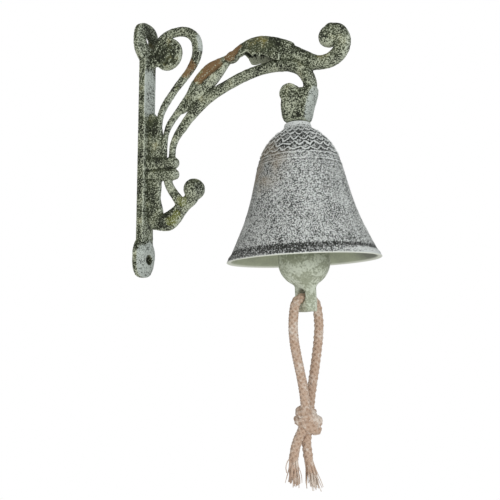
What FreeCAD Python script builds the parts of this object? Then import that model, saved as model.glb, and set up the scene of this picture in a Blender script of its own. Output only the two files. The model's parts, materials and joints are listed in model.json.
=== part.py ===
"""Wall mounted bell: cast bracket, bell, clapper and pull rope.

Axes: X out from the wall, Y across the bracket, Z up.  The origin is on the back of the plate,
midway between the two screw holes.  Millimetres.
"""
import FreeCAD, Part

import math
import os

from FreeCAD import Placement, Rotation, Vector

os.makedirs("parts", exist_ok=True)
doc = FreeCAD.newDocument("wall_bell")

# ---------------------------------------------------------------- driving dimensions
DIMENSIONS = {
    # back plate
    "plate_width": 13.8,
    "plate_thickness": 6.0,
    "lobe_centre": 79.5,
    "lobe_half_height": 15.5,
    "lobe_edge": 4.0,
    "top_lobe_width": 26.0,
    "top_lobe_crest": 6.6,
    "bottom_lobe_width": 22.0,
    "bottom_lobe_crest": 7.8,
    "screw_spacing": 164.0,
    "screw_hole": 7.5,
    "screw_sink": 12.8,
    # scrollwork
    "scroll_thickness": 5.4,
    "band_thickness": 9.0,
    "band_top": -8.0,
    "band_bottom": -24.5,
    "band_reach": 29.6,
    "volute_radius": 11.9,
    "volute_out": 21.4,
    "volute_height": 69.0,
    "leaf_thickness": 11.0,
    "curl_thickness": 8.4,
    "boss_thickness": 14.5,
    "knob_radius": 7.9,
    "knob_out": 45.2,
    "knob_drop": 32.8,
    # bell axis
    "axis_tilt": 3.0,
    "hang_out": 124.9,
    "hang_height": 6.5,
    # bell
    "crown_gap": 1.5,
    "mouth_radius": 50.0,
    "bell_wall": 3.0,
    "crown_hole": 6.16,
    "crown_radius": 8.6,
    "seat_depth": 9.5,
    "rim_depth": 92.1,
    # hanger hardware
    "bolt_diameter": 6.0,
    "bolt_grip": 14.0,
    "washer_diameter": 14.0,
    "washer_thickness": 1.2,
    "nut_across_corners": 11.5,
    "nut_height": 4.8,
    "lock_nut_height": 3.2,
    "eye_radius": 5.2,
    "eye_wire": 3.6,
    "link_radius": 5.5,
    "link_wire": 2.6,
    "loop_play": 0.15,
    # clapper
    "rod_diameter": 5.0,
    "ball_radius": 17.0,
    "ball_depth": 92.6,
    "rod_cast_in": 6.0,
    "lug_width": 15.0,
    "lug_thickness": 8.6,
    "lug_length": 32.8,
    "lug_hole_depth": 22.7,
    "lug_hole": 8.8,
    "lug_mouth": 10.4,
    "lug_corner": 2.6,
    "lug_turn": 60.0,
    # rope
    "rope_diameter": 6.0,
    "rope_sag": 1.1,
    "knot_radius": 9.4,
    "knot_height": 20.0,
    "fray_spread": 5.2,
}

sheet = doc.addObject("Spreadsheet::Sheet", "dimensions")
for row, (alias, number) in enumerate(DIMENSIONS.items(), start=1):
    sheet.set(f"A{row}", alias)
    sheet.set(f"B{row}", str(number))
    sheet.setAlias(f"B{row}", alias)
doc.recompute()

sub_parts = []


def size(alias):
    """Value of one cell of the sheet."""
    return float(sheet.get(alias))


def bind(feature, **sizes):
    """Bind properties of a feature to expressions on the sheet's cells."""
    for name, cells in sizes.items():
        words = cells
        for alias in sorted(DIMENSIONS, key=len, reverse=True):
            words = words.replace(f"<{alias}>", f"dimensions.{alias}")
        feature.setExpression(name, words)
    return feature


def sub_part(feature, label):
    """Name a finished sub-part; the label is also its file's name."""
    feature.Label = label
    sub_parts.append(feature)
    return feature


# ---------------------------------------------------------------- drawing helpers
def new_body(name):
    """Empty PartDesign body."""
    return doc.addObject("PartDesign::Body", name)


def sketch_on(body, plane, name, offset=0.0):
    """Sketch on one of the body's own origin planes, raised by offset along its normal."""
    sketch = body.newObject("Sketcher::SketchObject", name)
    origin_planes = {feature.Role: feature for feature in body.Origin.OriginFeatures}
    sketch.AttachmentSupport = [(origin_planes[plane], "")]
    sketch.MapMode = "FlatFace"
    sketch.AttachmentOffset = Placement(Vector(0, 0, offset), Rotation())
    return sketch


def draw(sketch, edges):
    """Put curves into a sketch."""
    for curve in edges:
        sketch.addGeometry(curve, False)


def spline(points):
    """Smooth curve through points of a sketch plane."""
    curve = Part.BSplineCurve()
    curve.interpolate([Vector(u, v, 0) for u, v in points])
    return curve


def line(start, end):
    """Straight edge between two points of a sketch plane."""
    return Part.LineSegment(Vector(*start, 0), Vector(*end, 0))


def closed_outline(*stretches):
    """Outline from stretches that share their end points: two points are a line, more a smooth curve."""
    return [line(*points) if len(points) == 2 else spline(points) for points in stretches]


def ribbon(route):
    """Outline of a tapering bar from its centre line, given as (x, z, width)."""
    centre = spline([(x, z) for x, z, _ in route])
    left, right = [], []
    for x, z, width in route:
        along = centre.tangent(centre.parameter(Vector(x, z, 0)))[0]
        side = Vector(-along.y, along.x, 0) * (width / 2)
        left.append((x + side.x, z + side.y))
        right.append((x - side.x, z - side.y))
    return closed_outline(left, [left[-1], right[-1]], right[::-1], [right[0], left[0]])


def rectangle(low, high):
    """Outline of a box between two corners."""
    (a, b), (c, d) = low, high
    corners = [(a, b), (c, b), (c, d), (a, d), (a, b)]
    return closed_outline(*zip(corners[:-1], corners[1:]))


def flat_bar(name, outline, thickness="<scroll_thickness>"):
    """Body of one thickness, midway about the plane Y = 0, from an outline in X and Z."""
    body = new_body(name)
    sketch = sketch_on(body, "XZ_Plane", name + "_outline")
    draw(sketch, outline)
    pad = body.newObject("PartDesign::Pad", name + "_pad")
    pad.Profile = sketch
    pad.Midplane = True
    bind(pad, Length=thickness)
    sketch.Visibility = False
    return body


def trim(label, base, *tools):
    """Sub-part made of base without the space of its neighbours."""
    tool = tools[0]
    if len(tools) > 1:
        tool = doc.addObject("Part::MultiFuse", label + "_neighbours")
        tool.Shapes = list(tools)
    cut = doc.addObject("Part::Cut", label + "_trimmed")
    cut.Base = base
    cut.Tool = tool
    return sub_part(cut, label)


# ---------------------------------------------------------------- the bell's leaning axis
TILT = Rotation(Vector(0, 1, 0), -size("axis_tilt"))
HANG = Vector(size("hang_out"), 0, size("hang_height"))


def on_axis(depth, turn=0.0):
    """Placement at a depth below the hanging point, on the bell's axis, turned about it."""
    return Placement(HANG + TILT.multVec(Vector(0, 0, -depth)), TILT * Rotation(Vector(0, 0, 1), turn))


# ---------------------------------------------------------------- back plate
DOME_SHRINK = 0.62


def lobe_oval(body, name, lobe, side, height, scale):
    """Oval of one screw lobe, at a height off the wall."""
    oval = sketch_on(body, "YZ_Plane", name, height)
    centre = Vector(0, side * size("lobe_centre"), 0)
    reach = Vector(0, size("lobe_half_height") * scale, 0)
    across = Vector(size(lobe + "_lobe_width") / 2 * scale, 0, 0)
    oval.addGeometry(Part.Ellipse(centre + reach, centre + across, centre), False)
    return oval


def make_back_plate():
    """Narrow strip with an oval lobe and a screw hole at each end."""
    body = new_body("plate_body")
    half_width, lobe_centre = size("plate_width") / 2, size("lobe_centre")
    strip = sketch_on(body, "YZ_Plane", "strip_outline")
    draw(strip, rectangle((-half_width, -lobe_centre), (half_width, lobe_centre)))
    pad = body.newObject("PartDesign::Pad", "strip_pad")
    pad.Profile = strip
    bind(pad, Length="<plate_thickness>")
    for name, side in (("top", 1), ("bottom", -1)):
        crest = size(name + "_lobe_crest")
        skirt = lobe_oval(body, name + "_lobe_outline", name, side, 0.0, 1.0)
        lobe = body.newObject("PartDesign::Pad", name + "_lobe")
        lobe.Profile = skirt
        bind(lobe, Length="<lobe_edge>")
        doc.recompute()
        base = lobe_oval(body, name + "_dome_base", name, side, size("lobe_edge"), 1.0)
        cap = lobe_oval(body, name + "_dome_cap", name, side, crest, DOME_SHRINK)
        dome = body.newObject("PartDesign::AdditiveLoft", name + "_dome")
        dome.Profile = base
        dome.Sections = [cap]
        doc.recompute()
    for name, side in (("top", 1), ("bottom", -1)):
        circle = sketch_on(body, "YZ_Plane", name + "_hole_outline")
        spot = Vector(0, side * size("screw_spacing") / 2, 0)
        circle.addGeometry(Part.Circle(spot, Vector(0, 0, 1), size("screw_hole") / 2), False)
        hole = body.newObject("PartDesign::Pocket", name + "_hole")
        hole.Profile = circle
        hole.Type = "ThroughAll"
        hole.Midplane = True
    body.Tip = hole
    doc.recompute()
    sink = doc.addObject("Part::Cone", "screw_sink")
    bind(sink, Radius1="<screw_hole> / 2", Radius2="<screw_sink> / 2")
    bind(sink, Height="(<screw_sink> - <screw_hole>) / 2")
    depth = (size("screw_sink") - size("screw_hole")) / 2
    face = size("top_lobe_crest") - depth
    sink.Placement = Placement(Vector(face, 0, size("screw_spacing") / 2), Rotation(Vector(0, 1, 0), 90))
    return trim("back_plate", body, sink)


# ---------------------------------------------------------------- scrollwork of the bracket
UPPER_SCROLL = [
    (13.6, 8.0, 5.0), (14.6, 20.0, 4.6), (17.9, 29.0, 4.2), (23.2, 36.2, 4.2), (28.9, 42.9, 4.2),
    (34.9, 48.8, 4.4), (40.4, 54.7, 4.8), (44.4, 61.2, 5.4), (46.2, 68.4, 5.8), (44.8, 75.8, 5.8),
    (40.4, 81.2, 5.6), (33.6, 84.2, 5.4), (25.8, 84.6, 5.0), (18.4, 83.2, 4.8), (12.6, 80.4, 4.8),
]
CENTRE_STEM = [
    (19.2, -8.0, 3.6), (19.5, 2.0, 3.6), (20.7, 10.0, 3.6), (24.0, 16.8, 3.8), (29.7, 23.4, 4.0),
    (36.0, 29.2, 5.4), (42.2, 35.6, 8.0), (47.2, 42.0, 9.6), (52.6, 47.4, 10.8), (59.0, 50.4, 12.0),
    (65.6, 52.8, 10.6), (70.4, 55.0, 7.2), (75.4, 57.8, 9.0), (80.6, 59.4, 8.2), (88.0, 61.4, 9.6),
]
LOWER_ARM = [
    (25.8, -8.0, 4.0), (26.4, 0.0, 4.0), (29.2, 7.6, 4.2), (33.8, 14.4, 4.4), (39.6, 21.2, 4.8),
    (47.0, 27.6, 5.6), (55.4, 33.0, 5.8), (64.4, 37.4, 5.6), (73.6, 40.9, 5.4), (83.4, 44.0, 5.4),
    (93.4, 46.2, 5.6), (102.8, 47.2, 6.0), (111.8, 47.0, 6.8), (120.0, 45.0, 7.0), (126.8, 41.0, 6.8),
    (131.4, 35.2, 6.2), (133.2, 29.0, 5.6),
]


def make_scrollwork(plate):
    """Members of the bracket, each ending on its neighbours' faces."""
    band_top, band_bottom = size("band_top"), size("band_bottom")
    plate_face = size("plate_thickness")
    stem_web = sub_part(flat_bar("stem_body", closed_outline(
        [(plate_face, band_top), (17.6, band_top)],
        [(17.6, band_top), (17.6, 6.0), (17.0, 16.0), (14.6, 23.0), (12.0, 26.0)],
        [(12.0, 26.0), (plate_face, 26.0)],
        [(plate_face, 26.0), (plate_face, band_top)],
    )), "stem_web")

    crest = size("band_reach")
    edge, groove = crest - 2.2, band_bottom + 8.2
    band = sub_part(flat_bar("band_body", closed_outline(
        [(plate_face, band_bottom), (edge, band_bottom)],
        [(edge, band_bottom), (crest, band_bottom + 3.0), (crest, band_bottom + 5.4), (edge, groove)],
        [(edge, groove), (crest, band_bottom + 11.0), (crest, band_bottom + 13.5), (edge, band_top)],
        [(edge, band_top), (plate_face, band_top)],
        [(plate_face, band_top), (plate_face, band_bottom)],
    ), "<band_thickness>"), "tie_band")

    scroll_bar = flat_bar("upper_scroll_body", ribbon(UPPER_SCROLL))
    trim("upper_scroll", scroll_bar, stem_web, plate)

    disc = doc.addObject("Part::Cylinder", "volute_disc")
    bind(disc, Radius="<volute_radius>", Height="<scroll_thickness>")
    middle = Vector(size("volute_out"), size("scroll_thickness") / 2, size("volute_height"))
    disc.Placement = Placement(middle, Rotation(Vector(1, 0, 0), 90))
    root = flat_bar("volute_root", closed_outline(
        [(3.0, 60.0), (14.0, 59.4)], [(14.0, 59.4), (14.0, 78.6)], [(14.0, 78.6), (3.0, 73.0)],
        [(3.0, 73.0), (3.0, 60.0)]))
    volute = doc.addObject("Part::Fuse", "volute_whole")
    volute.Base = disc
    volute.Tool = root
    trim("scroll_volute", volute, scroll_bar, plate)

    centre_bar = flat_bar("centre_stem_body", ribbon(CENTRE_STEM))
    trim("centre_stem", centre_bar, stem_web, scroll_bar, band)

    boss_foot = size("hang_height")
    boss = flat_bar("boss_body", closed_outline(
        [(117.4, 9.0), (118.2, 7.4), (120.0, boss_foot)],
        [(120.0, boss_foot), (129.6, boss_foot)],
        [(129.6, boss_foot), (131.6, 7.4), (132.4, 9.4)],
        [(132.4, 9.4), (134.4, 19.0), (136.0, 28.0), (136.0, 31.4)],
        [(136.0, 31.4), (131.2, 31.4)],
        [(131.2, 31.4), (130.4, 28.6), (127.4, 28.2), (124.2, 30.2), (120.2, 31.4), (116.6, 29.6),
         (115.2, 25.6), (115.8, 18.0), (117.4, 9.0)],
    ), "<boss_thickness>")

    arm_bar = flat_bar("lower_arm_body", ribbon(LOWER_ARM))
    trim("lower_arm", arm_bar, centre_bar, stem_web, boss, band)

    leaf = flat_bar("leaf_body", closed_outline(
        [(80.4, 62.2), (85.0, 66.2), (92.4, 68.2), (100.0, 67.6), (109.0, 65.0), (117.0, 61.4)],
        [(117.0, 61.4), (113.0, 53.6), (110.6, 50.2)],
        [(110.6, 50.2), (105.0, 52.0), (100.0, 51.8), (95.0, 53.8), (89.0, 55.4), (82.4, 55.2)],
        [(82.4, 55.2), (80.4, 62.2)],
    ), "<leaf_thickness>")
    trim("acanthus_leaf", leaf, centre_bar, arm_bar)

    end_bar = flat_bar("end_scroll_body", closed_outline(
        [(112.0, 64.6), (120.0, 61.0), (129.5, 55.2), (136.5, 50.6), (143.0, 48.6), (147.4, 50.0)],
        [(147.4, 50.0), (147.2, 52.6), (143.4, 55.4), (141.0, 60.0), (142.4, 65.2), (148.0, 68.6),
         (154.6, 67.8), (159.6, 63.4), (161.4, 56.0), (159.6, 47.6), (154.0, 42.2), (146.0, 40.2),
         (137.0, 40.6)],
        [(137.0, 40.6), (131.0, 36.0)],
        [(131.0, 36.0), (120.0, 44.0), (112.0, 48.0)],
        [(112.0, 48.0), (112.0, 64.6)],
    ), "<curl_thickness>")
    trim("end_scroll", end_bar, leaf, arm_bar)

    bore = doc.addObject("Part::Cylinder", "boss_bore")
    bind(bore, Radius="<bolt_diameter> / 2", Height="<bolt_grip>")
    bore.Placement = on_axis(0)
    trim("hanger_boss", boss, bore)

    foot = flat_bar("lower_scroll_body", closed_outline(
        [(plate_face, band_bottom), (24.6, band_bottom)],
        [(24.6, band_bottom), (26.8, -29.6), (29.6, -33.6), (33.0, -35.4), (37.6, -34.2)],
        [(37.6, -34.2), (45.5, -33.0)],
        [(45.5, -33.0), (50.6, -39.6)],
        [(50.6, -39.6), (45.6, -43.4), (40.0, -45.6), (36.2, -49.2), (33.6, -54.4), (29.6, -59.2),
         (24.0, -61.6), (17.0, -61.2), (12.0, -59.4)],
        [(12.0, -59.4), (plate_face, -59.4)],
        [(plate_face, -59.4), (plate_face, band_bottom)],
    ))
    eye = flat_bar("foot_eye", closed_outline(
        [(17.4, -32.0), (16.0, -37.4), (17.4, -43.6), (21.4, -47.4), (26.0, -47.2), (27.6, -43.8),
         (25.2, -38.4), (21.6, -32.6)],
        [(21.6, -32.6), (19.4, -30.8), (17.4, -32.0)],
    ), "<band_thickness>")
    knob = doc.addObject("Part::Sphere", "knob_ball")
    bind(knob, Radius="<knob_radius>")
    knob.Placement = Placement(Vector(size("knob_out"), 0, -size("knob_drop")), Rotation())
    sub_part(knob, "lower_knob")
    trim("lower_scroll", foot, eye, knob)


# ---------------------------------------------------------------- bell
BELL_CURVE = [
    (13.4, 7.2), (17.8, 11.2), (21.2, 15.4), (24.2, 21.0), (27.3, 29.0), (30.6, 42.5), (34.2, 56.5),
    (37.8, 67.0), (41.0, 74.4), (45.2, 83.6),
]


def make_bell():
    """Bell turned about its own axis: radius against depth below the boss."""
    body = new_body("bell_body")
    gap, mouth, wall = size("crown_gap"), size("mouth_radius"), size("bell_wall")
    crown, seat = size("crown_radius"), size("seat_depth")
    rim = size("rim_depth")
    inside_drop, lip_slant = 0.9, 0.4
    outer = [(r, -depth) for r, depth in BELL_CURVE] + [(mouth, -rim)]
    inner = [(r - wall, -depth - inside_drop) for r, depth in BELL_CURVE[1:]]
    inner = [(crown - 0.2, -seat)] + inner + [(mouth - wall - lip_slant, -rim)]
    profile = sketch_on(body, "XZ_Plane", "bell_profile")
    hole = size("crown_hole") / 2
    draw(profile, closed_outline(
        [(hole, -gap), (crown, -gap)],
        [(crown, -gap), (10.8, -gap - 3.8)],
        [(10.8, -gap - 3.8), outer[0]],
        outer,
        [outer[-1], inner[-1]],
        inner[::-1],
        [inner[0], (hole, -seat)],
        [(hole, -seat), (hole, -gap)],
    ))
    turned = body.newObject("PartDesign::Revolution", "bell_turned")
    turned.Profile = profile
    turned.ReferenceAxis = (profile, ["V_Axis"])
    turned.Angle = 360
    body.Placement = on_axis(0)
    return sub_part(body, "bell")


# ---------------------------------------------------------------- hanger hardware
def cylinder(name, diameter, length, depth):
    """Cylinder whose lower end is at a depth on the bell's axis."""
    feature = doc.addObject("Part::Cylinder", name)
    bind(feature, Radius=f"({diameter}) / 2", Height=length)
    feature.Placement = on_axis(depth)
    return feature


def ring(name, radius, wire, depth, turn):
    """Round wire ring centred on the bell's axis, standing on edge."""
    feature = doc.addObject("Part::Torus", name)
    bind(feature, Radius1=radius, Radius2=f"({wire}) / 2")
    upright = Rotation(Vector(1, 0, 0), 90)
    place = on_axis(depth, turn)
    feature.Placement = Placement(place.Base, place.Rotation * upright)
    return feature


WASHER_FOOT = size("seat_depth") + size("washer_thickness")
NUT_FOOT = WASHER_FOOT + size("nut_height")
LOCK_FOOT = NUT_FOOT + size("lock_nut_height")
BARE_THREAD = 1.5
EYE_DEPTH = LOCK_FOOT + BARE_THREAD + size("eye_radius")
HOOK_DROP = size("eye_wire") / 2 + size("link_wire") / 2 + size("loop_play")
LINK_PIVOT = EYE_DEPTH + size("eye_radius") - HOOK_DROP
LINK_DEPTH = LINK_PIVOT + size("link_radius")
CLAPPER_PIVOT = LINK_DEPTH + size("link_radius") - HOOK_DROP
CLAPPER_EYE = CLAPPER_PIVOT + size("eye_radius")


def make_hardware():
    """Eye bolt, washer, nuts and the link that carries the clapper."""
    shank_end = EYE_DEPTH - size("eye_radius")
    shank = cylinder("bolt_shank", "<bolt_diameter>", f"{shank_end} + <bolt_grip>", shank_end)
    eye = ring("bolt_eye", "<eye_radius>", "<eye_wire>", EYE_DEPTH, 0)
    bolt = doc.addObject("Part::Fuse", "eye_bolt")
    bolt.Base = shank
    bolt.Tool = eye
    sub_part(bolt, "hanger_eye_bolt")

    blank = cylinder("washer_blank", "<washer_diameter>", "<washer_thickness>", WASHER_FOOT)
    trim("crown_washer", blank, shank)
    nuts = (("crown_nut", "<nut_height>", NUT_FOOT, 0), ("lock_nut", "<lock_nut_height>", LOCK_FOOT, 15))
    for label, height, foot, turn in nuts:
        prism = doc.addObject("Part::Prism", label + "_blank")
        prism.Polygon = 6
        bind(prism, Circumradius="<nut_across_corners> / 2", Height=height)
        prism.Placement = on_axis(foot, turn)
        trim(label, prism, shank)
    sub_part(ring("link_ring", "<link_radius>", "<link_wire>", LINK_DEPTH, 90), "clapper_link")


# ---------------------------------------------------------------- clapper
LUG_HOLE = on_axis(size("ball_depth") + size("lug_hole_depth")).Base
HOLE_AXIS = Vector(math.cos(math.radians(size("lug_turn"))), math.sin(math.radians(size("lug_turn"))), 0)


def make_clapper():
    """Eyed rod cast into a ball with a drilled lug below it."""
    rod_top = CLAPPER_EYE + size("eye_radius")
    rod_foot = size("ball_depth") - size("rod_cast_in")
    rod = cylinder("rod_bar", "<rod_diameter>", f"{rod_foot - rod_top}", rod_foot)
    eye = ring("rod_eye", "<eye_radius>", "<eye_wire>", CLAPPER_EYE, 0)
    rod_whole = doc.addObject("Part::Fuse", "eyed_rod")
    rod_whole.Base = rod
    rod_whole.Tool = eye
    sub_part(rod_whole, "clapper_rod")

    ball = doc.addObject("Part::Sphere", "ball_casting")
    bind(ball, Radius="<ball_radius>")
    ball.Placement = on_axis(size("ball_depth"))
    lug_body = new_body("lug_body")
    outline = sketch_on(lug_body, "XY_Plane", "lug_outline")
    half_thick, half_wide = size("lug_thickness") / 2, size("lug_width") / 2
    draw(outline, rectangle((-half_thick, -half_wide), (half_thick, half_wide)))
    tongue = lug_body.newObject("PartDesign::Pad", "lug_tongue")
    tongue.Profile = outline
    bind(tongue, Length="<lug_length>")
    doc.recompute()
    upright = [f"Edge{n}" for n, e in enumerate(tongue.Shape.Edges, start=1) if e.BoundBox.ZLength > 30]
    corners = lug_body.newObject("PartDesign::Fillet", "lug_corners")
    corners.Base = (tongue, upright)
    bind(corners, Radius="<lug_corner>")
    lug_body.Placement = on_axis(size("ball_depth") + size("lug_length"), size("lug_turn"))
    casting = doc.addObject("Part::Fuse", "ball_and_lug")
    casting.Base = ball
    casting.Tool = lug_body

    along_hole = Rotation(Vector(0, 0, 1), HOLE_AXIS)
    reach = 12.0
    drill = doc.addObject("Part::Cylinder", "lug_drill")
    bind(drill, Radius="<lug_hole> / 2")
    drill.Height = 2 * reach
    drill.Placement = Placement(LUG_HOLE - HOLE_AXIS * reach, along_hole)
    cutters = [drill]
    flare = (size("lug_mouth") - size("lug_hole")) / 2
    for side in (1, -1):
        cone = doc.addObject("Part::Cone", "mouth_flare_far" if side > 0 else "mouth_flare_near")
        bind(cone, Radius1="<lug_hole> / 2", Radius2="<lug_mouth> / 2 + 2")
        cone.Height = flare + 2
        cone.Placement = Placement(LUG_HOLE + HOLE_AXIS * side * (half_thick - flare),
                                   Rotation(Vector(0, 0, 1), HOLE_AXIS * side))
        cutters.append(cone)
    trim("clapper_ball", casting, rod, *cutters)


# ---------------------------------------------------------------- pull rope
# The rope lies low in the lug's hole and swings there.  Its routes are in its own upright plane:
# (along the hole's axis, aside from it, drop below the rope's middle in the hole).
ROPE_SEAT = on_axis(size("ball_depth") + size("lug_hole_depth") + size("rope_sag")).Base
NEAR_ROPE = [
    (0.0, 0.0, 0.0), (-4.0, 0.0, 0.0), (-7.0, 0.0, -1.8), (-8.8, 0.0, -4.8), (-9.5, 0.0, -9.6),
    (-10.3, 0.0, -17.4), (-9.6, 0.3, -27.6), (-7.1, 0.9, -39.8), (-4.2, 1.5, -52.2), (-2.1, 1.9, -63.6),
    (-1.6, 2.0, -72.6),
]
FAR_ROPE = [
    (0.0, 0.0, 0.0), (4.0, 0.0, 0.0), (7.0, 0.0, -1.8), (8.9, 0.0, -4.8), (9.8, 0.0, -9.6),
    (10.9, -0.1, -17.2), (10.5, -0.5, -27.4), (9.0, -1.0, -39.8), (7.2, -1.6, -52.0), (5.4, -2.0, -63.0),
    (4.4, -2.0, -72.6),
]
KNOT_CENTRE = (2.0, 0.0, -78.0)
NEAR_TAIL = [(-2.6, 0.6, -82.8), (-6.2, 0.4, -88.4), (-8.6, 0.2, -94.6), (-9.6, 0.0, -101.2)]
FAR_TAIL = [(2.6, -0.4, -82.8), (0.4, -0.2, -89.4), (1.0, 0.0, -96.2), (2.2, 0.2, -102.6)]
NEAR_FRAY_TIP = (-9.2, 0.0, -115.6)
FAR_FRAY_TIP = (6.4, 0.4, -119.4)
SIDEWAYS = HOLE_AXIS.cross(Vector(0, 0, 1))


def in_rope_plane(point):
    """Point of the object's frame for a route point."""
    along, aside, drop = point
    return ROPE_SEAT + HOLE_AXIS * along + SIDEWAYS * aside + Vector(0, 0, drop)


def cord_path(route):
    """Wire of straight runs joined by tangent arcs, with its tightest arc."""
    points = [in_rope_plane(point) for point in route]
    edges, start, tightest = [], points[0], 1e9
    for before, corner, after in zip(points, points[1:], points[2:]):
        into = (corner - before).normalize()
        out = (after - corner).normalize()
        half_turn = into.getAngle(out) / 2
        trimmed = 0.45 * min((corner - before).Length, (after - corner).Length)
        radius = trimmed / math.tan(half_turn)
        tightest = min(tightest, radius)
        first, last = corner - into * trimmed, corner + out * trimmed
        inward = (out - into).normalize()
        centre = corner + inward * (radius / math.cos(half_turn))
        middle = centre - inward * radius
        edges += [Part.LineSegment(start, first).toShape(), Part.Arc(first, middle, last).toShape()]
        start = last
    edges.append(Part.LineSegment(start, points[-1]).toShape())
    return Part.Wire(edges), tightest


def cord_tube(label, route, *tools):
    """Rope of round section along a route, without the space of the given shapes."""
    path, tightest = cord_path(route)
    radius = size("rope_diameter") / 2
    heading = path.Edges[0].tangentAt(path.Edges[0].FirstParameter)
    section = Part.Wire(Part.makeCircle(radius, path.Vertexes[0].Point, heading))
    shape = path.makePipeShell([section], True, False)
    whole = math.pi * radius ** 2 * path.Length
    print(f"{label}: length {path.Length:.1f} mm, tightest radius {tightest:.1f} mm, "
          f"volume {shape.Volume:.0f} of {whole:.0f} mm3")
    for tool in tools:
        shape = shape.cut(tool)
    tube = doc.addObject("Part::Feature", label + "_tube")
    tube.Shape = max(shape.Solids, key=lambda solid: solid.Volume)
    tube.Placement = Placement()
    return sub_part(tube, label)


def make_rope():
    """Rope doubled through the lug, its overhand knot and its frayed ends."""
    height, waist = size("knot_height"), size("knot_radius")
    middle = in_rope_plane(KNOT_CENTRE)
    end_radius = 0.72 * waist
    body = new_body("knot_body")
    profile = sketch_on(body, "XZ_Plane", "knot_profile")
    draw(profile, [
        Part.Arc(Vector(end_radius, -height / 2, 0), Vector(waist, 0, 0), Vector(end_radius, height / 2, 0)),
        line((end_radius, height / 2), (0, height / 2)),
        line((0, height / 2), (0, -height / 2)),
        line((0, -height / 2), (end_radius, -height / 2)),
    ])
    turned = body.newObject("PartDesign::Revolution", "knot_turned")
    turned.Profile = profile
    turned.ReferenceAxis = (profile, ["V_Axis"])
    turned.Angle = 360
    body.Placement = Placement(middle, Rotation())
    doc.recompute()
    knot = sub_part(body, "rope_knot")

    cord_tube("rope_near", NEAR_ROPE, knot.Shape)
    cord_tube("rope_far", FAR_ROPE, knot.Shape)
    taken = [knot.Shape]
    for label, route, tip in (("near", NEAR_TAIL, NEAR_FRAY_TIP), ("far", FAR_TAIL, FAR_FRAY_TIP)):
        tail = cord_tube("rope_tail_" + label, route, *taken)
        taken.append(tail.Shape)
        start, end = in_rope_plane(route[-1]), in_rope_plane(tip)
        fray = doc.addObject("Part::Cone", "fray_" + label)
        bind(fray, Radius1="<rope_diameter> / 2", Radius2="<fray_spread>")
        fray.Height = (end - start).Length
        fray.Placement = Placement(start, Rotation(Vector(0, 0, 1), end - start))
        trim("frayed_end_" + label, fray, tail)


# ---------------------------------------------------------------- build, check and write
back_plate = make_back_plate()
make_scrollwork(back_plate)
make_bell()
make_hardware()
make_clapper()
make_rope()
doc.recompute()

faults = []
for feature in doc.Objects:
    if {"Invalid", "Error"} & set(feature.State):
        faults.append(f"{feature.Name}: {feature.State}")
for part in sub_parts:
    if part.Shape.isNull() or not part.Shape.isValid():
        faults.append(f"{part.Label}: bad shape")
if faults:
    raise RuntimeError("; ".join(faults))

for part in sub_parts:
    box = part.Shape.BoundBox
    spans = [f"{low:.1f}..{high:.1f}" for low, high in
             ((box.XMin, box.XMax), (box.YMin, box.YMax), (box.ZMin, box.ZMax))]
    print(f"{part.Label:18s} solids {len(part.Shape.Solids)}  volume {part.Shape.Volume:9.1f} mm3 ", *spans)
    part.Shape.exportStep(f"parts/{part.Label}.step")
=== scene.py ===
"""Wall mounted bell on its scroll bracket: the visible pieces, their finishes, lights and camera.

Axes: X out from the wall, Y across the bracket, Z up.  The origin is on the back of the wall plate,
midway between its screw holes.  Shapes are worked out in millimetres and finished in metres.
"""
from __future__ import annotations

import json
import logging
import math
from dataclasses import dataclass, field
from enum import Enum
from typing import Sequence

import bmesh
import bpy
import numpy as np
from mathutils import Matrix, Vector, noise

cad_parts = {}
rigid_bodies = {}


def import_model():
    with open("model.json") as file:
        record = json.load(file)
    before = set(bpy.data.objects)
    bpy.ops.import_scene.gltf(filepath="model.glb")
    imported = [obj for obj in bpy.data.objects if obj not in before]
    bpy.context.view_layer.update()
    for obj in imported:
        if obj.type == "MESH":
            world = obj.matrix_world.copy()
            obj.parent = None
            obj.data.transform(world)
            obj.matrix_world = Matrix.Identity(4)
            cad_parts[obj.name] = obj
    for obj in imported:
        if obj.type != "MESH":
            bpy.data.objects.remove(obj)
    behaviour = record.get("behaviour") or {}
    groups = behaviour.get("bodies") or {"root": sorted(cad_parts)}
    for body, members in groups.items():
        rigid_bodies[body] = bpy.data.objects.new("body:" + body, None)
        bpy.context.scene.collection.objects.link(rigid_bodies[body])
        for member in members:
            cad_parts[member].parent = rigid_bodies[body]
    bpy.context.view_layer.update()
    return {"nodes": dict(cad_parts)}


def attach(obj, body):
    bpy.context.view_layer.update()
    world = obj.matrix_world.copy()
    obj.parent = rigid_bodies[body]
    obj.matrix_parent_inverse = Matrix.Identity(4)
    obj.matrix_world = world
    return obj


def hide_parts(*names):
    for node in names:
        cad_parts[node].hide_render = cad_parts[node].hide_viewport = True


log = logging.getLogger("wall_bell")

MM = 0.001
LEAN = math.radians(3.0)
HANG = Vector((124.9, 0.0, 6.5))
DOWN = Vector((math.sin(LEAN), 0.0, -math.cos(LEAN)))
OUTWARD = Vector((math.cos(LEAN), 0.0, math.sin(LEAN)))
ACROSS = Vector((0.0, 1.0, 0.0))
Colour = tuple[float, float, float]


def on_axis(depth: float) -> Vector:
    """Point on the bell's leaning axis, at a depth below its hanging point, in millimetres."""
    return HANG + DOWN * depth


# ---------------------------------------------------------------- modelling helpers
@dataclass(frozen=True)
class Section:
    """One cross-section of a skinned form: its middle, two half axes and how square it is."""

    middle: Vector
    wide: Vector
    deep: Vector
    squareness: float = 2.0

    def point(self, turn: float) -> Vector:
        """Point of the section's edge.

        Args:
            turn: how far round the section, from 0 to 1.

        Returns:
            The point, in millimetres.
        """
        c, s = math.cos(math.tau * turn), math.sin(math.tau * turn)
        power = 2.0 / self.squareness
        along_wide = math.copysign(abs(c) ** power, c)
        along_deep = math.copysign(abs(s) ** power, s)
        return self.middle + self.wide * along_wide + self.deep * along_deep


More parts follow.
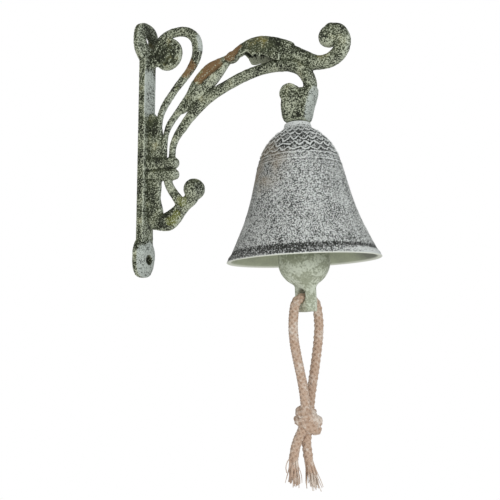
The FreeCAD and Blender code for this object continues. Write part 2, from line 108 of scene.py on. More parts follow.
def skin(bm: bmesh.types.BMesh, sections: Sequence[Section], sides: int) -> None:
    """Add a closed form skinned over sections.

    Args:
        bm: mesh that the form is added to.
        sections: cross-sections in order; the same one first and last makes a ring.
        sides: number of points round each section.
    """
    rows = len(sections) - 1
    grid = bmesh.ops.create_grid(bm, x_segments=rows, y_segments=sides, size=0.5)["verts"]
    for vert in grid:
        row = round((vert.co.x + 0.5) * rows)
        step = round((vert.co.y + 0.5) * sides) % sides
        vert.co = sections[row].point(step / sides)
    bmesh.ops.remove_doubles(bm, verts=grid, dist=1e-5)
    rim = [edge for vert in grid if vert.is_valid for edge in vert.link_edges if edge.is_boundary]
    bmesh.ops.holes_fill(bm, edges=list(set(rim)), sides=0)


def smooth_rows(knots: Sequence[Sequence[float]], step: float, axes: int = 2) -> np.ndarray:
    """Sample a smooth curve through knots.

    Args:
        knots: rows whose first columns are coordinates; the others are carried along.
        step: spacing of the samples, in millimetres.
        axes: number of coordinate columns.

    Returns:
        Rows like the knots, closer together.
    """
    rows = np.array(knots, dtype=float)
    padded = np.vstack([2 * rows[0] - rows[1], rows, 2 * rows[-1] - rows[-2]])
    found = []
    for a, b, c, d in zip(padded, padded[1:], padded[2:], padded[3:]):
        count = max(2, int(np.linalg.norm((c - b)[:axes]) / step))
        t = (np.arange(count) / count)[:, None]
        found.append(0.5 * (2 * b + (c - a) * t + (2 * a - 5 * b + 4 * c - d) * t ** 2
                            + (3 * b - a - 3 * c + d) * t ** 3))
    return np.vstack(found + [rows[-1:]])


def bar(bm: bmesh.types.BMesh, route: Sequence[Sequence[float]], squareness: float = 2.2) -> None:
    """Add a cast bar with round ends, in the plane of the bracket.

    Args:
        bm: mesh that the bar is added to.
        route: rows of x, z, width in the plane and thickness across it.
        squareness: 2 for an oval section, more for a squarer one.
    """
    rows = smooth_rows(route, 1.0)
    heading = np.gradient(rows[:, :2], axis=0)
    heading /= np.linalg.norm(heading, axis=1)[:, None]
    body = [(row, way, 0.0) for row, way in zip(rows, heading)]
    caps = [(rows[0], heading[0], -t) for t in (1.0, 0.92, 0.7, 0.4)]
    caps_end = [(rows[-1], heading[-1], t) for t in (0.4, 0.7, 0.92, 1.0)]
    sections = []
    for (x, z, width, thick), (dx, dz), past in caps + body + caps_end:
        shrink = max(0.04, math.sqrt(1 - past * past))
        middle = Vector((x + dx * past * width / 2, 0.0, z + dz * past * width / 2))
        wide = Vector((-dz, 0.0, dx)) * (width / 2 * shrink)
        sections.append(Section(middle, wide, ACROSS * (thick / 2 * shrink), squareness))
    skin(bm, sections, 20)


def tube(bm: bmesh.types.BMesh, line: np.ndarray, radii: Sequence[float], sides: int) -> None:
    """Add a round tube along a line, with one radius at each of its points."""
    heading = np.gradient(line, axis=0)
    side = np.array([0.31, 0.87, 0.38])
    sections = []
    for point, way, radius in zip(line, heading, radii):
        way = way / np.linalg.norm(way)
        side = side - way * float(side @ way)
        side = side / np.linalg.norm(side)
        deep = np.cross(way, side)
        sections.append(Section(Vector(point), Vector(side * radius), Vector(deep * radius)))
    skin(bm, sections, sides)


def ball(bm: bmesh.types.BMesh, middle: Vector, half: Colour, turn: float = 0.0) -> None:
    """Add an egg-shaped ball with three half sizes, turned in the bracket's plane by degrees."""
    spin = Matrix.Rotation(math.radians(-turn), 4, "Y")
    place = Matrix.Translation(middle) @ spin @ Matrix.Diagonal((*half, 1))
    bmesh.ops.create_uvsphere(bm, u_segments=32, v_segments=20, radius=1.0, matrix=place)


def take_cad(bm: bmesh.types.BMesh, node: bpy.types.Object) -> None:
    """Add a merged copy of a CAD node's mesh, in millimetres."""
    copy = bmesh.new()
    copy.from_mesh(node.data)
    bmesh.ops.remove_doubles(copy, verts=copy.verts, dist=1e-6)
    bmesh.ops.scale(copy, vec=(1 / MM,) * 3, verts=copy.verts)
    merged = bpy.data.meshes.new("merged_copy")
    copy.to_mesh(merged)
    copy.free()
    bm.from_mesh(merged)
    bpy.data.meshes.remove(merged)


def finish_piece(name: str, bm: bmesh.types.BMesh) -> bpy.types.Object:
    """Make an object of a mesh in millimetres.

    Args:
        name: the piece's name.
        bm: its mesh, which is freed.

    Returns:
        The object, at the origin and in metres, shaded smooth.
    """
    bmesh.ops.recalc_face_normals(bm, faces=bm.faces)
    bmesh.ops.scale(bm, vec=(MM,) * 3, verts=bm.verts)
    for face in bm.faces:
        face.smooth = True
    mesh = bpy.data.meshes.new(name)
    bm.to_mesh(mesh)
    bm.free()
    piece = bpy.data.objects.new(name, mesh)
    bpy.context.scene.collection.objects.link(piece)
    return piece


def cast_in_one(piece: bpy.types.Object, voxel: float, softening: int) -> None:
    """Run overlapping forms into one skin and soften its corners.

    Args:
        piece: object whose mesh is replaced.
        voxel: size of the remesh, in millimetres.
        softening: rounds of smoothing.
    """
    remesh = piece.modifiers.new("one_skin", "REMESH")
    remesh.mode = "VOXEL"
    remesh.voxel_size = voxel * MM
    remesh.use_smooth_shade = True
    soften = piece.modifiers.new("soften", "SMOOTH")
    soften.factor = 0.5
    soften.iterations = softening
    ready = piece.evaluated_get(bpy.context.evaluated_depsgraph_get())
    mesh = bpy.data.meshes.new_from_object(ready)
    piece.modifiers.clear()
    old, piece.data = piece.data, mesh
    bpy.data.meshes.remove(old)
    mesh.name = piece.name


def points_of(mesh: bpy.types.Mesh) -> tuple[np.ndarray, np.ndarray]:
    """Vertex positions, in millimetres, and their normals."""
    points, normals = np.empty((2, len(mesh.vertices) * 3))
    mesh.vertices.foreach_get("co", points)
    mesh.vertices.foreach_get("normal", normals)
    return points.reshape(-1, 3) / MM, normals.reshape(-1, 3)


def put_points(mesh: bpy.types.Mesh, points: np.ndarray) -> None:
    """Write vertex positions, given in millimetres."""
    mesh.vertices.foreach_set("co", (points * MM).ravel())
    mesh.update()


def grain(points: np.ndarray, scale: float, seed: float) -> np.ndarray:
    """Smooth noise from -1 to 1 at each point, with features about scale millimetres across."""
    shift = Vector((seed, -seed, 2 * seed))
    return np.array([noise.noise(Vector(p) / scale + shift) for p in points])


def mark_relief(mesh: bpy.types.Mesh, reach: int, gain: float) -> None:
    """Store how far each vertex stands out of its surroundings, as the attribute relief.

    Args:
        mesh: the mesh, which gets values from 0 in hollows to 1 on edges, 0.5 on flats.
        reach: rounds of averaging with the neighbours.
        gain: share of the range for each millimetre; the middle value of the mesh counts as flat.
    """
    points, normals = points_of(mesh)
    edges = np.empty(len(mesh.edges) * 2, dtype=np.int64)
    mesh.edges.foreach_get("vertices", edges)
    a, b = edges.reshape(-1, 2).T
    count = np.bincount(np.concatenate([a, b]), minlength=len(points))[:, None]
    around = points
    for _ in range(reach):
        total = np.zeros_like(points)
        np.add.at(total, a, around[b])
        np.add.at(total, b, around[a])
        around = total / np.maximum(count, 1)
    stands_out = ((points - around) * normals).sum(axis=1)
    values = np.clip(0.5 + gain * (stands_out - np.median(stands_out)), 0.0, 1.0)
    mark(mesh, "relief", values)


def mark(mesh: bpy.types.Mesh, name: str, values: np.ndarray) -> None:
    """Store a number for each vertex, which the finishes read by its name."""
    mesh.attributes.new(name, "FLOAT", "POINT").data.foreach_set("value", values.astype(np.float32))


# ---------------------------------------------------------------- shader helpers
class Signal:
    """Output of a node, used in expressions whose operators add Math nodes."""

    def __init__(self, shader: "Shader", socket: bpy.types.NodeSocket) -> None:
        """Wrap a socket of a shader."""
        self.shader = shader
        self.socket = socket

    def with_math(self, operation: str, first: "Value", second: "Value") -> "Signal":
        """Add one Math node."""
        return self.shader.node("ShaderNodeMath", {"operation": operation}, {0: first, 1: second})

    def __add__(self, other: "Value") -> "Signal":
        """Sum."""
        return self.with_math("ADD", self, other)

    def __radd__(self, other: "Value") -> "Signal":
        """Sum with a number first."""
        return self.with_math("ADD", other, self)

    def __sub__(self, other: "Value") -> "Signal":
        """Difference."""
        return self.with_math("SUBTRACT", self, other)

    def __rsub__(self, other: "Value") -> "Signal":
        """Difference with a number first."""
        return self.with_math("SUBTRACT", other, self)

    def __mul__(self, other: "Value") -> "Signal":
        """Product."""
        return self.with_math("MULTIPLY", self, other)

    def __rmul__(self, other: "Value") -> "Signal":
        """Product with a number first."""
        return self.with_math("MULTIPLY", other, self)


Value = float | Signal
Paint = Colour | Signal


class Shader:
    """Principled material under construction."""

    def __init__(self, name: str) -> None:
        """Start an empty material."""
        self.material = bpy.data.materials.new(name)
        self.material.use_nodes = True
        self.tree = self.material.node_tree
        self.surface = self.tree.nodes["Principled BSDF"]
        self.place = self.node("ShaderNodeTexCoord", {}, {}, "Object")

    def node(self, kind: str, settings: dict, inputs: dict, output: int | str = 0) -> Signal:
        """Add a node.

        Args:
            kind: the node's type.
            settings: its properties, set first; "stops" holds a ramp's positions and colours.
            inputs: values or signals of its sockets, by name or number.
            output: the socket that is returned.

        Returns:
            One output of the node.
        """
        node = self.tree.nodes.new(kind)
        stops = settings.pop("stops", ())
        for name, setting in settings.items():
            setattr(node, name, setting)
        for number, (position, shade) in enumerate(stops):
            elements = node.color_ramp.elements
            stop = elements[number] if number < 2 else elements.new(position)
            stop.position = position
            stop.color = (*shade, 1.0)
        for name, value in inputs.items():
            self.feed(node.inputs[name], value)
        return Signal(self, node.outputs[output])

    def feed(self, socket: bpy.types.NodeSocket, value: Value | Paint) -> None:
        """Link a signal to a socket, or set its value."""
        if isinstance(value, Signal):
            self.tree.links.new(value.socket, socket)
        elif isinstance(value, tuple) and socket.type == "RGBA":
            socket.default_value = (*value, 1.0)
        else:
            socket.default_value = value

    def cloud(self, size: float, detail: float = 2.0, roughness: float = 0.5) -> Signal:
        """Noise with features about size millimetres across, from 0 to 1."""
        settings = {"noise_dimensions": "3D"}
        inputs = {"Vector": self.place, "Scale": 1 / (size * MM), "Detail": detail, "Roughness": roughness}
        return self.node("ShaderNodeTexNoise", settings, inputs)

    def step(self, value: Value, low: float, high: float) -> Signal:
        """Smooth step from 0 at low to 1 at high."""
        settings = {"interpolation_type": "SMOOTHSTEP", "clamp": True}
        return self.node("ShaderNodeMapRange", settings, {"Value": value, "From Min": low, "From Max": high})

    def near(self, point: Colour, radius: float) -> Signal:
        """1 within a patch about a point, in millimetres, fading to 0 at its radius."""
        spot = tuple(n * MM for n in point)
        far = self.node("ShaderNodeVectorMath", {"operation": "DISTANCE"}, {0: self.place, 1: spot}, "Value")
        return self.step(far, radius * MM, radius * 0.35 * MM)

    def mix(self, share: Value, first: Paint, second: Paint, blend: str = "MIX") -> Signal:
        """Mix of two colours."""
        settings = {"data_type": "RGBA", "blend_type": blend, "clamp_factor": True}
        return self.node("ShaderNodeMix", settings, {0: share, 6: first, 7: second}, 2)

    def marked(self, name: str) -> Signal:
        """Number stored on the piece, such as its relief: 0 in hollows, 0.5 on flats, 1 on edges."""
        return self.node("ShaderNodeAttribute", {"attribute_name": name}, {}, "Fac")

    def patches(self, spots: Sequence[tuple[Colour, float]]) -> Signal:
        """Sum of patches, each a point and a radius in millimetres."""
        cover = self.near(*spots[0])
        for spot in spots[1:]:
            cover = cover + self.near(*spot)
        return cover

    def facing(self, way: Colour) -> Signal:
        """1 where the surface faces a way in the object's own frame, 0 from square on."""
        normal = self.node("ShaderNodeNewGeometry", {}, {}, "Normal")
        dot = self.node("ShaderNodeVectorMath", {"operation": "DOT_PRODUCT"}, {0: normal, 1: way}, "Value")
        return self.step(dot, 0.0, 0.9)

    def bump(self, height: Value, distance: float, strength: float = 1.0) -> Signal:
        """Normal of a height field whose full range is distance millimetres."""
        inputs = {"Height": height, "Distance": distance * MM, "Strength": strength}
        return self.node("ShaderNodeBump", {}, inputs)

    def done(self, colour: Paint, roughness: Value, normal: Signal | None,
             **constants: float) -> bpy.types.Material:
        """Connect the surface.

        Args:
            colour: base colour.
            roughness: roughness.
            normal: bumped normal, or None.
            constants: other sockets, with spaces as underscores.

        Returns:
            The material.
        """
        self.feed(self.surface.inputs["Base Color"], colour)
        self.feed(self.surface.inputs["Roughness"], roughness)
        if normal is not None:
            self.feed(self.surface.inputs["Normal"], normal)
        for name, value in constants.items():
            self.feed(self.surface.inputs[name.replace("_", " ")], value)
        return self.material


# ---------------------------------------------------------------- finishes
@dataclass(frozen=True)
class BracketPaint:
    """Olive black paint on rough iron, dry-brushed pale, with rust and moss; painted light gives cooler stretches on
    outward faces, paler undersides and darker tops, and painted shade lies in hollows and round the top screw hole.
    """

    dark: Colour = (0.014, 0.017, 0.008)
    olive: Colour = (0.080, 0.094, 0.048)
    pale: Colour = (0.61, 0.65, 0.49)
    cool: Colour = (0.57, 0.62, 0.57)
    rust: Colour = (0.25, 0.145, 0.062)
    moss: Colour = (0.22, 0.24, 0.05)
    rust_patches: tuple = (((51, -3, 48), 8), ((57, -3, 52), 8), ((63, -3, 55), 7), ((75, -3, 59), 7),
                           ((82, -3, 62), 5), ((42, -2, 57), 7), ((38, -2, 52), 5))
    moss_patches: tuple = (((28, -3, -55), 7), ((33, -3, -50), 5), ((37, -3, -41), 6), ((31, -3, 41), 5))
    # Patches where the outward faces get a painted cool sheen of the light from the right.
    sheen_patches: tuple = (((6, 0, 42), 24), ((6, 0, -84), 20), ((138, 0, 16), 16), ((47, 0, 72), 9))
    limed_patches: tuple = (((88, 6, 55), 5), ((94, 6, 55), 5), ((100, 6, 55), 4))
    # Painted shade: darker patches round the top screw hole, in the volute, on the leaf and at the top of the stem.
    shade_patches: tuple = (((6.6, 0, 82), 11), ((21, -3, 69), 12), ((100, -4, 63), 18), ((9, -2, 20), 9))
    lit_patches: tuple = (((60, -5, 44), 9), ((50, -5, 36), 8), ((25, -3, -30), 7), ((96, 4, 56), 10),
                          ((124, -6, 15), 10), ((128, 0, 25), 5), ((145, 0, 56), 8), ((14, 0, -75), 12))

    def material(self) -> bpy.types.Material:
        """Build the material."""
        s = Shader("bracket_paint")
        speck, fine, broad = s.cloud(0.95, 3, 0.65), s.cloud(0.5, 2), s.cloud(9, 2)
        relief = s.marked("relief")
        colour = s.mix(s.step(broad * 0.45 + speck * 0.55, 0.40, 0.56), self.dark, self.olive)
        stains = ((self.rust, self.rust_patches, 0.85), (self.moss, self.moss_patches, 0.65))
        for shade, spots, most in stains:
            cover = s.step(s.patches(spots) * 0.6 + 1.5 * (broad - 0.5) + 1.1 * (speck - 0.5), 0.12, 0.5)
            colour = s.mix(cover * most, colour, shade)
        rusty = s.step(s.patches(self.rust_patches), 0.2, 0.8)
        ways = ((1.0, 0.0, 0.0), (0.0, 0.0, -1.0), (0.0, 0.0, 1.0))
        outward, under, upward = (s.facing(way) for way in ways)
        # Painted sheen: outward faces in the sheen patches catch the cool light from the right.
        outward_sheen = outward * s.step(s.patches(self.sheen_patches) + 1.2 * (broad - 0.5), 0.1, 0.7)
        dabs = speck * 0.7 + fine * 0.3 + 0.16 * (broad - 0.5) + 0.30 * (relief - 0.5)
        # Painted light and shade: more pale dabs on outward faces, lit patches and undersides, fewer on tops and in
        # the shade patches; fewer on rust as well.
        dabs = dabs + 0.075 * outward_sheen + 0.025 * outward + 0.045 * s.patches(self.lit_patches) + 0.035 * under
        dabs = dabs - 0.045 * s.patches(self.shade_patches) - 0.055 * upward - 0.07 * rusty
        dabs = dabs + 0.13 * s.patches(self.limed_patches)
        # The dry-brushed pale turns cool bluish on outward faces: painted reflection of the light from the right.
        chalk_and_sheen = s.mix(s.step(outward_sheen + 0.4 * outward, 0.1, 0.9), self.pale, self.cool)
        colour = s.mix(s.step(dabs, 0.515, 0.568) * 0.96, colour, chalk_and_sheen)
        # Painted shade: the hollows darken towards the dark paint.
        colour = s.mix(s.step(relief, 0.40, 0.22) * 0.8, colour, self.dark)
        # Painted shadow in and round the top screw hole, where the scroll shades the lobe.
        colour = s.mix(s.near((6.4, 0, 82), 8.5) * 0.85, colour, self.dark)
        normal = s.bump(speck * 0.6 + fine * 0.4, 0.45, 0.9)
        return s.done(colour, 0.6 + 0.25 * speck, normal, Specular_IOR_Level=0.3)


@dataclass(frozen=True)
class BellPaint:
    """Grey white stippled paint over charcoal outside, smooth pale paint inside."""

    charcoal: Colour = (0.026, 0.028, 0.024)
    stipple: Colour = (0.73, 0.755, 0.73)
    earth: Colour = (0.24, 0.17, 0.085)
    inside: Colour = (0.56, 0.61, 0.44)
    shaded: Colour = (0.25, 0.26, 0.225)
    lip: Colour = (0.90, 0.93, 0.82)
    band: tuple = (84.4, 86.4, 89.6, 92.6)

    def material(self) -> bpy.types.Material:
        """Build the material."""
        s = Shader("bell_paint")
        speck, fine, broad = s.cloud(0.85, 3, 0.65), s.cloud(0.45, 2), s.cloud(14, 2)
        relief, depth = s.marked("relief"), s.marked("depth")
        dots = speck * 0.62 + fine * 0.38 + 0.10 * (broad - 0.5) + 0.62 * (relief - 0.5)
        start, full, easing, end = self.band
        wander = 3.0 * (broad - 0.5) + 2.0 * (speck - 0.5)
        sooty = s.step(depth + wander, start, full) * s.step(depth, end, easing)
        rubbed = s.step(depth, 87.2, 88.6) * s.near((172, 0, -82), 40)
        cap, shoulder = s.step(depth, 7.0, 5.0), s.step(depth, 24.0, 13.0)
        dots = dots - 0.065 * sooty + 0.12 * rubbed - 0.02 * shoulder + 0.09 * cap
        colour = s.mix(s.step(dots, 0.462, 0.535), self.charcoal, self.stipple)
        warm = s.near((110, -24, -26), 27) * s.step(broad * 0.6 + speck * 0.4, 0.40, 0.58)
        colour = s.mix(warm * 0.55, colour, self.earth)
        within, lip = s.marked("within"), s.marked("lip")
        shadow = s.step(speck * 0.5 + broad * 0.5, 0.35, 0.7) * 0.5 + 0.75 * s.near((168, 16, -78), 36)
        clean = s.mix(shadow, self.inside, self.shaded)
        colour = s.mix(within, colour, clean)
        colour = s.mix(lip * s.step(fine, 0.25, 0.45), colour, self.lip)
        normal = s.bump((speck * 0.6 + fine * 0.4) * (1 - 0.8 * within), 0.4, 0.8)
        return s.done(colour, 0.55 + 0.3 * speck, normal, Specular_IOR_Level=0.3)


@dataclass(frozen=True)
class ClapperPaint:
    """Pale sage paint, brushed on thinly, with painted shade in and round the lug's hole and in hollows, and a
    painted highlight below the hole.
    """

    pale: Colour = (0.74, 0.79, 0.65)
    shade: Colour = (0.36, 0.39, 0.27)
    # Dark of the grime flecks, also used for the painted shade in the lug's hole.
    grime_and_shade: Colour = (0.09, 0.10, 0.06)
    # The moss colour here paints a yellow-green highlight on the lug below its hole.
    moss: Colour = (0.42, 0.42, 0.10)

    def material(self) -> bpy.types.Material:
        """Build the material."""
        s = Shader("clapper_paint")
        speck, fine, broad = s.cloud(1.3, 3, 0.6), s.cloud(0.55, 2), s.cloud(8, 2)
        relief = s.marked("relief")
        colour = s.mix(s.step(speck * 0.5 + broad * 0.5, 0.56, 0.43) * 0.85, self.pale, self.shade)
        upper = s.near((129.5, 0, -72), 21)
        flecks = s.step(speck * 0.5 + fine * 0.5 - 0.05 * upper, 0.49, 0.41) * (0.25 + 0.55 * upper)
        colour = s.mix(flecks, colour, self.grime_and_shade)
        # Painted shade at both mouths of the lug's hole and in the hollows.
        hole_shade = s.patches((((129.0, -3.9, -107.6), 7.0), ((133.4, 3.9, -107.6), 7.0)))
        colour = s.mix(s.step(hole_shade + 0.8 * (0.5 - relief), 0.55, 1.0) * 0.85, colour, self.grime_and_shade)
        # Painted highlight: a yellow-green glint on the lug below the near mouth of its hole.
        colour = s.mix(s.near((128.6, -4.2, -111.0), 3.4) * 0.6, colour, self.moss)
        return s.done(colour, 0.5 + 0.25 * speck, s.bump(speck * 0.5 + fine * 0.5, 0.3, 0.7))


@dataclass(frozen=True)
class DullSteel:
    """Dull turned steel with a little tarnish."""

    bright: Colour = (0.42, 0.41, 0.38)
    tarnish: Colour = (0.13, 0.11, 0.09)

    def material(self) -> bpy.types.Material:
        """Build the material."""
        s = Shader("dull_steel")
        blotch, fine = s.cloud(3.0, 3, 0.6), s.cloud(0.4, 2)
        stained = s.step(blotch * 0.7 + fine * 0.3, 0.45, 0.62)
        colour = s.mix(stained, self.bright, self.tarnish)
        return s.done(colour, 0.34 + 0.3 * stained, s.bump(fine, 0.05, 0.5), Metallic=0.9)


@dataclass(frozen=True)
class Cotton:
    """Braided cotton with painted shade in its creases, sandy pink there, and paler where it is worn."""

    beige: Colour = (0.60, 0.44, 0.33)
    # Sandy pink brown of the painted shade in the creases.
    crease_shade: Colour = (0.30, 0.165, 0.09)
    worn: Colour = (0.86, 0.78, 0.69)
    worn_patches: tuple = (((139.5, 0.0, -185.5), 9), ((138.0, 0.0, -226.0), 10))

    def material(self) -> bpy.types.Material:
        """Build the material."""
        s = Shader("cotton")
        tuft, fibre, broad = s.cloud(2.0, 3, 0.6), s.cloud(0.4, 2), s.cloud(9, 2)
        worn = s.step(tuft * 0.5 + broad * 0.5 + 0.2 * s.patches(self.worn_patches), 0.47, 0.64)
        colour = s.mix(worn * 0.7, self.beige, self.worn)
        # Painted shade: the creases between the yarns darken towards the crease colour.
        crease_shade = s.step(s.marked("relief") + 0.9 * (tuft - 0.5), 0.75, 0.05)
        colour = s.mix(crease_shade * 0.38, colour, self.crease_shade)
        return s.done(colour, 0.92, s.bump(fibre, 0.12, 0.8), Sheen_Weight=0.15, Specular_IOR_Level=0.15)


# ---------------------------------------------------------------- bracket
@dataclass
class Bracket:
    """Cast bracket: wall plate, band, scrolls, arm, leaf and boss run into one skin."""

    nodes: tuple[str, ...] = ("back_plate", "stem_web", "tie_band", "upper_scroll", "scroll_volute", "centre_stem",
                              "lower_arm", "acanthus_leaf", "end_scroll", "hanger_boss", "lower_knob", "lower_scroll")
    voxel: float = 0.55
    softening: int = 6
    upper_scroll: tuple = (
        (13.6, 5.0, 5.0, 4.8), (14.6, 20.0, 4.8, 4.8), (17.9, 29.0, 5.4, 4.8), (23.2, 36.2, 5.4, 5.0),
        (28.9, 42.9, 5.5, 5.0), (34.9, 48.8, 5.7, 5.2), (40.5, 54.6, 6.1, 5.6), (44.6, 61.2, 6.9, 6.0),
        (46.5, 68.4, 7.7, 6.4), (45.1, 75.9, 7.7, 6.6), (40.5, 81.4, 7.3, 6.6), (33.6, 84.3, 7.0, 6.4),
        (25.8, 84.6, 6.6, 6.2), (18.4, 82.8, 6.3, 6.0), (13.0, 78.4, 6.1, 5.8), (11.4, 72.0, 5.5, 5.6),
    )
    stem: tuple = (
        (19.2, -10.0, 3.9, 4.6), (19.5, 2.0, 3.9, 4.6), (20.7, 10.0, 3.9, 4.6), (24.0, 16.8, 4.9, 4.8),
        (29.7, 23.4, 5.2, 4.8), (36.0, 30.0, 5.8, 5.2), (41.0, 36.4, 6.0, 5.6), (44.5, 41.4, 7.0, 6.4),
        (51.4, 48.2, 8.2, 8.4), (58.4, 52.8, 8.4, 8.6), (64.6, 55.9, 6.2, 6.6), (69.5, 57.6, 5.0, 5.4),
        (82.0, 60.8, 6.0, 6.0),
    )
    sepal: tuple = (
        (33.6, 24.6, 3.4, 4.6), (40.0, 28.8, 7.6, 5.4), (47.0, 34.8, 10.0, 6.6), (54.0, 40.4, 10.0, 7.2),
        (60.6, 45.2, 8.0, 6.8), (66.0, 49.8, 5.8, 5.8), (71.2, 54.4, 3.8, 4.8),
    )
    arm: tuple = (
        (25.9, -10.0, 4.4, 4.6), (26.8, 0.0, 4.9, 4.6), (30.2, 7.0, 5.8, 4.8), (35.1, 13.1, 7.2, 5.0),
        (40.9, 19.8, 7.8, 5.4), (47.9, 26.1, 8.2, 6.0), (56.1, 31.7, 8.2, 6.2), (64.9, 36.2, 7.8, 6.2),
        (74.0, 39.8, 7.6, 6.2), (83.6, 43.0, 7.4, 6.4), (93.5, 45.3, 7.4, 6.8), (102.8, 46.6, 7.4, 7.6),
        (111.8, 46.7, 7.8, 9.0), (120.0, 45.4, 8.0, 10.6), (127.4, 41.8, 8.8, 11.8), (132.6, 35.8, 9.0, 12.4),
        (134.2, 29.0, 8.4, 12.8), (133.2, 21.0, 7.0, 13.2),
    )
    leaf_ridge: tuple = (
        (78.6, 60.9, 6.4, 6.0), (84.6, 64.6, 5.6, 6.4), (92.2, 66.9, 5.2, 6.8), (100.2, 66.4, 5.6, 7.2),
        (109.6, 62.8, 7.6, 8.0), (118.0, 57.8, 10.2, 8.6),
    )
    near_teeth: tuple = (
        (78.0, 58.4), (82.0, 56.9), (85.6, 57.2), (88.6, 58.8), (91.6, 57.0), (94.0, 54.6), (95.8, 56.4),
        (98.8, 53.4), (100.8, 55.2), (103.6, 53.6), (107.4, 51.6), (111.0, 49.6), (114.0, 48.6),
    )
    far_teeth: tuple = (
        (82.0, 61.0), (84.6, 58.8), (87.6, 53.0), (91.0, 52.0), (94.6, 52.8), (97.6, 51.8), (101.0, 52.6),
        (104.6, 51.8), (108.0, 51.2), (114.0, 49.0),
    )
    leaf_half_width: float = 5.4
    end_scroll: tuple = (
        (106.0, 57.8, 10.0, 7.6), (113.0, 56.0, 12.2, 8.2), (120.0, 53.0, 13.2, 8.8), (128.0, 49.2, 12.0, 9.0),
        (135.0, 45.9, 10.6, 9.0), (141.4, 44.4, 9.4, 8.8), (148.6, 45.2, 9.8, 8.8), (154.6, 49.2, 10.4, 8.8),
        (157.0, 55.8, 10.6, 8.6), (154.3, 62.6, 10.4, 8.4), (148.8, 65.2, 9.4, 8.2),
    )
    foot_strand: tuple = (
        (21.8, -20.0, 5.8, 5.2), (23.6, -27.5, 6.4, 5.2), (27.4, -33.6, 6.8, 5.4), (31.6, -38.8, 7.4, 5.8),
        (34.4, -42.4, 8.6, 6.0),
    )
    foot_loop: tuple = (
        (12.0, -54.8, 10.0, 5.8), (18.0, -55.4, 12.2, 6.6), (24.2, -54.4, 14.0, 7.8), (29.4, -50.9, 12.8, 7.6),
        (33.6, -46.8, 10.6, 6.8), (38.2, -42.6, 10.0, 6.8), (42.8, -39.4, 10.0, 7.4), (45.6, -35.4, 9.4, 8.4),
    )
    foot_spine: tuple = ((11.0, -20.0, 11.6, 5.6), (11.2, -30.0, 11.2, 5.6), (11.0, -38.0, 10.6, 5.6),
                         (12.2, -46.0, 12.4, 5.6), (13.0, -54.0, 13.0, 5.8))
    web: tuple = ((11.4, -10.0, 12.0, 5.4), (11.4, 8.0, 12.0, 5.4),
                  (10.4, 18.0, 9.6, 5.2), (8.6, 24.0, 5.0, 4.6))
    volute_middle: tuple = (21.4, 69.0)
    volute_radius: float = 11.9
    lobes: tuple = ((79.5, 13.0, 15.5), (-79.5, 11.0, 15.5))
    corner_fullness: float = 0.085
    widening: float = 0.12
    widening_from: float = 64.0
    widening_over: float = 9.0

    def build(self, cad: dict[str, bpy.types.Object]) -> bpy.types.Object:
        """Model the casting.

        Args:
            cad: the frame's nodes.

        Returns:
            The finished piece.
        """
        bm = bmesh.new()
        take_cad(bm, cad["back_plate"])
        for route in (self.upper_scroll, self.stem, self.sepal, self.arm, self.leaf_ridge, self.end_scroll,
                      self.foot_strand, self.foot_loop):
            bar(bm, route)
        bar(bm, self.foot_spine, 3.0)
        bar(bm, self.web, 4.0)
        for height, deep in ((-12.2, 8.2), (-20.5, 8.2)):
            bar(bm, ((4.0, height, deep, 8.8), (15.0, height, deep, 9.2), (27.4, height, deep, 9.8)), 2.5)
        self.add_volute(bm)
        self.add_leaf(bm)
        self.add_boss(bm)
        ball(bm, Vector((75.4, 0.0, 58.3)), (5.8, 4.3, 4.2), 18.0)
        ball(bm, Vector((147.6, 0.0, 60.9)), (7.4, 5.4, 7.4))
        ball(bm, Vector((45.2, 0.0, -32.8)), (7.7, 7.7, 7.7))
        ball(bm, Vector((23.0, 0.0, -54.4)), (6.4, 4.8, 6.0))
        piece = finish_piece("bracket_casting", bm)
        cast_in_one(piece, self.voxel, self.softening)
        self.roughen(piece.data)
        mark_relief(piece.data, 5, 0.75)
        return piece

    def add_volute(self, bm: bmesh.types.BMesh) -> None:
        """Add the rolled-up disc inside the upper scroll, with its spiral and its root on the plate."""
        x, z = self.volute_middle
        rim = ((11.2, 2.0), (self.volute_radius, 1.0), (self.volute_radius, -1.0), (11.2, -2.0))
        disc = [(0.2, 2.2)] + list(rim) + [(0.2, -2.2)]
        flat, up = Vector((1, 0, 0)), Vector((0, 0, 1))
        skin(bm, [Section(Vector((x, y, z)), flat * r, up * r) for r, y in disc], 48)
        turns, start = 2.35, math.radians(200)
        spiral = []
        for n in range(90):
            share = n / 89
            angle = start + share * turns * math.tau
            radius = 10.3 - 9.3 * share
            spiral.append((x + radius * math.cos(angle), z + radius * math.sin(angle),
                           3.1 - 0.5 * share, 6.0))
        bar(bm, spiral[::3])
        bar(bm, ((4.0, 66.0, 10.0, 5.2), (9.0, 67.0, 12.0, 5.2), (14.0, 68.6, 14.0, 4.8)), 3.0)

    def add_leaf(self, bm: bmesh.types.BMesh) -> None:
        """Add the folded acanthus leaf: two ribbed blades that hang from its ridge to toothed edges."""
        ridge = smooth_rows(self.leaf_ridge, 0.5)
        for side, teeth in ((-1.0, self.near_teeth), (1.0, self.far_teeth)):
            edge = np.array(teeth)
            upper, lower = [], []
            for x in np.linspace(edge[0, 0], edge[-1, 0], 80):
                top = float(np.interp(x, ridge[:, 0], ridge[:, 1])) + 1.2
                foot = float(np.interp(x, edge[:, 0], edge[:, 1]))
                swell = min(1.0, 0.35 + (x - edge[0, 0]) / 9.0)
                rib = 0.75 + 0.35 * math.cos(math.tau * (x - 94.0) / 5.2)
                half = self.leaf_half_width * swell
                fold = Vector((x, side * 0.82 * half, top - 0.40 * (top - foot)))
                rim = Vector((x, side * half, foot))
                upper.append(self.blade(Vector((x, side * 0.8, top)), fold, rib + 0.3))
                lower.append(self.blade(fold, rim, rib))
            skin(bm, upper, 16)
            skin(bm, lower, 16)

